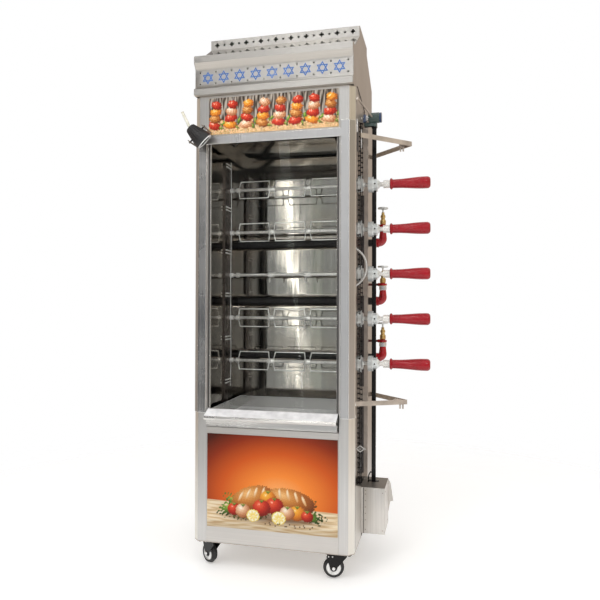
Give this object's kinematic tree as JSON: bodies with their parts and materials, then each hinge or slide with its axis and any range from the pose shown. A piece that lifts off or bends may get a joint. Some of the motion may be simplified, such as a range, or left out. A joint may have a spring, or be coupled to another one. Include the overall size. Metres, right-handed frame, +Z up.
{
  "type": "rotisserie oven",
  "caption": "Tall free-standing gas rotisserie oven on casters, with chain-driven spits behind a lifting glass, side handles, a drip tray and a vented hood.",
  "frame": {"origin": "middle of the bounding box at floor level, under the wheels", "axes": "+Z up, +Y from the glass front to the back, +X towards the drive side with the handles"},
  "size_m": [0.8656, 0.6496, 2.015],
  "materials": {
    "brushed_steel": "brushed stainless sheet, grain along the panel",
    "polished_steel": "polished stainless sheet",
    "spit_steel": "bright stainless rod and wire",
    "red_grip": "gloss crimson lacquer",
    "printed_plate": "printed sheet in warm orange",
    "clear_glass": "clear tempered glass",
    "blue_trim": "blue enamel",
    "burner_iron": "dark burner pipe",
    "gas_pipe": "dark red painted pipe",
    "red_cast": "gloss red painted casting",
    "brass": "machined brass",
    "zinc_cast": "bright cast zinc",
    "black_paint": "gloss black paint",
    "chain_steel": "oiled dark steel",
    "motor_grey": "grey painted casting",
    "lamp_black": "ribbed black housing",
    "white_sleeve": "pale flexible conduit",
    "caster_black": "black painted pressed steel",
    "black_rubber": "black rubber tyre"
  },
  "bodies": {
    "cabinet": {"corner_posts": "brushed_steel", "left_side_panel": "brushed_steel", "right_side_panel": "brushed_steel", "back_panel": "brushed_steel", "base_plate": "brushed_steel", "top_panel": "brushed_steel", "side_liners": "polished_steel", "cavity_decks": "polished_steel", "reflectors": "polished_steel", "spit_rest": "polished_steel", "lower_front_panel": "brushed_steel", "picture_plates": "printed_plate", "header_panel": "brushed_steel", "window_frame": "brushed_steel", "hood_shell": "brushed_steel", "hood_fascia": "brushed_steel", "star_trim": "blue_trim", "vent_grille": "brushed_steel", "burner_tubes": "burner_iron", "gas_manifold": "gas_pipe", "venturi_elbows": "red_cast", "valve_bodies": "brass", "bearing_blocks": "zinc_cast", "drive_post": "black_paint", "drive_chain": "chain_steel", "gearmotor": "motor_grey", "motor_cover": "brushed_steel", "side_brackets": "brushed_steel", "lamp_bracket": "black_paint", "conduit": "white_sleeve", "caster_mounts": "caster_black"},
    "tray": {"drip_tray": "polished_steel"},
    "pane": {"window_glass": "clear_glass"},
    "idler": {"idler_sprocket": "chain_steel"},
    "drive_shaft": {"drive_sprocket": "chain_steel"},
    "lamp": {"lamp_head": "lamp_black"},
    "front_left_swivel": {"front_left_fork": "caster_black"},
    "front_right_swivel": {"front_right_fork": "caster_black"},
    "wheel_fl": {"front_left_wheel": "black_rubber"},
    "wheel_fr": {"front_right_wheel": "black_rubber"},
    "wheel_rl": {"rear_left_wheel": "black_rubber"},
    "wheel_rr": {"rear_right_wheel": "black_rubber"},
    "valve_1": {"handwheel_1": "zinc_cast"},
    "valve_2": {"handwheel_2": "zinc_cast"},
    "valve_3": {"handwheel_3": "zinc_cast"},
    "spit_set_1": {"spit_1": "spit_steel", "baskets_1": "spit_steel", "handle_1": "red_grip"},
    "spit_set_2": {"spit_2": "spit_steel", "baskets_2": "spit_steel", "handle_2": "red_grip"},
    "spit_set_3": {"spit_3": "spit_steel", "baskets_3": "spit_steel", "handle_3": "red_grip"},
    "spit_set_4": {"spit_4": "spit_steel", "baskets_4": "spit_steel", "handle_4": "red_grip"},
    "spit_set_5": {"spit_5": "spit_steel", "baskets_5": "spit_steel", "handle_5": "red_grip"}
  },
  "joints": [
    {"name": "tray_slide", "type": "slide", "parent": "cabinet", "child": "tray", "axis": [0, -1, 0], "range_m": [0, 0.3]},
    {"name": "glass_lift", "type": "slide", "parent": "cabinet", "child": "pane", "axis": [0, 0, 1], "range_m": [0, 0.16]},
    {"name": "valve_1_turn", "type": "hinge", "parent": "cabinet", "child": "valve_1", "pos_m": [0.23881, 0.1698, 1.36902], "axis": [0, 0, 1], "range_deg": [0, 540]},
    {"name": "valve_2_turn", "type": "hinge", "parent": "cabinet", "child": "valve_2", "pos_m": [0.23881, 0.1698, 1.12925], "axis": [0, 0, 1], "range_deg": [0, 540]},
    {"name": "valve_3_turn", "type": "hinge", "parent": "cabinet", "child": "valve_3", "pos_m": [0.23881, 0.1698, 0.89816], "axis": [0, 0, 1], "range_deg": [0, 540]},
    {"name": "drive_spin", "type": "hinge", "parent": "cabinet", "child": "drive_shaft", "pos_m": [0.16481, 0.0298, 0.2], "axis": [1, 0, 0], "continuous": true},
    {"name": "idler_spin", "type": "hinge", "parent": "cabinet", "child": "idler", "pos_m": [0.16481, 0.0298, 1.7], "axis": [1, 0, 0], "continuous": true},
    {"name": "spit_1_spin", "type": "hinge", "parent": "cabinet", "child": "spit_set_1", "pos_m": [0.16481, 0.0298, 1.44], "axis": [1, 0, 0], "continuous": true},
    {"name": "spit_2_spin", "type": "hinge", "parent": "cabinet", "child": "spit_set_2", "pos_m": [0.16481, 0.0298, 1.26625], "axis": [1, 0, 0], "continuous": true},
    {"name": "spit_3_spin", "type": "hinge", "parent": "cabinet", "child": "spit_set_3", "pos_m": [0.16481, 0.0298, 1.0925], "axis": [1, 0, 0], "continuous": true},
    {"name": "spit_4_spin", "type": "hinge", "parent": "cabinet", "child": "spit_set_4", "pos_m": [0.16481, 0.0298, 0.91875], "axis": [1, 0, 0], "continuous": true},
    {"name": "spit_5_spin", "type": "hinge", "parent": "cabinet", "child": "spit_set_5", "pos_m": [0.16481, 0.0298, 0.745], "axis": [1, 0, 0], "continuous": true},
    {"name": "lamp_tilt", "type": "hinge", "parent": "cabinet", "child": "lamp", "pos_m": [-0.38318, -0.2922, 1.584], "axis": [0.7071, 0, 0.7071], "range_deg": [-30, 25]},
    {"name": "front_left_swivel", "type": "hinge", "parent": "cabinet", "child": "front_left_swivel", "pos_m": [-0.35918, -0.1782, 0.06], "axis": [0, 0, 1], "continuous": true},
    {"name": "wheel_fl_roll", "type": "hinge", "parent": "front_left_swivel", "child": "wheel_fl", "pos_m": [-0.37557, -0.16673, 0.0375], "axis": [0.5736, 0.8192, 0], "continuous": true},
    {"name": "front_right_swivel", "type": "hinge", "parent": "cabinet", "child": "front_right_swivel", "pos_m": [0.12082, -0.1782, 0.06], "axis": [0, 0, 1], "continuous": true},
    {"name": "wheel_fr_roll", "type": "hinge", "parent": "front_right_swivel", "child": "wheel_fr", "pos_m": [0.10112, -0.18167, 0.0375], "axis": [-0.1736, 0.9848, 0], "continuous": true},
    {"name": "wheel_rl_roll", "type": "hinge", "parent": "cabinet", "child": "wheel_rl", "pos_m": [-0.35918, 0.2148, 0.0375], "axis": [1, 0, 0], "continuous": true},
    {"name": "wheel_rr_roll", "type": "hinge", "parent": "cabinet", "child": "wheel_rr", "pos_m": [0.12082, 0.2148, 0.0375], "axis": [1, 0, 0], "continuous": true}
  ],
  "couplings": [
    {"joint": "idler_spin", "follows": "drive_spin", "ratio": 1},
    {"joint": "spit_1_spin", "follows": "drive_spin", "ratio": 0.64286},
    {"joint": "spit_2_spin", "follows": "drive_spin", "ratio": 0.64286},
    {"joint": "spit_3_spin", "follows": "drive_spin", "ratio": 0.64286},
    {"joint": "spit_4_spin", "follows": "drive_spin", "ratio": 0.64286},
    {"joint": "spit_5_spin", "follows": "drive_spin", "ratio": 0.64286}
  ]
}
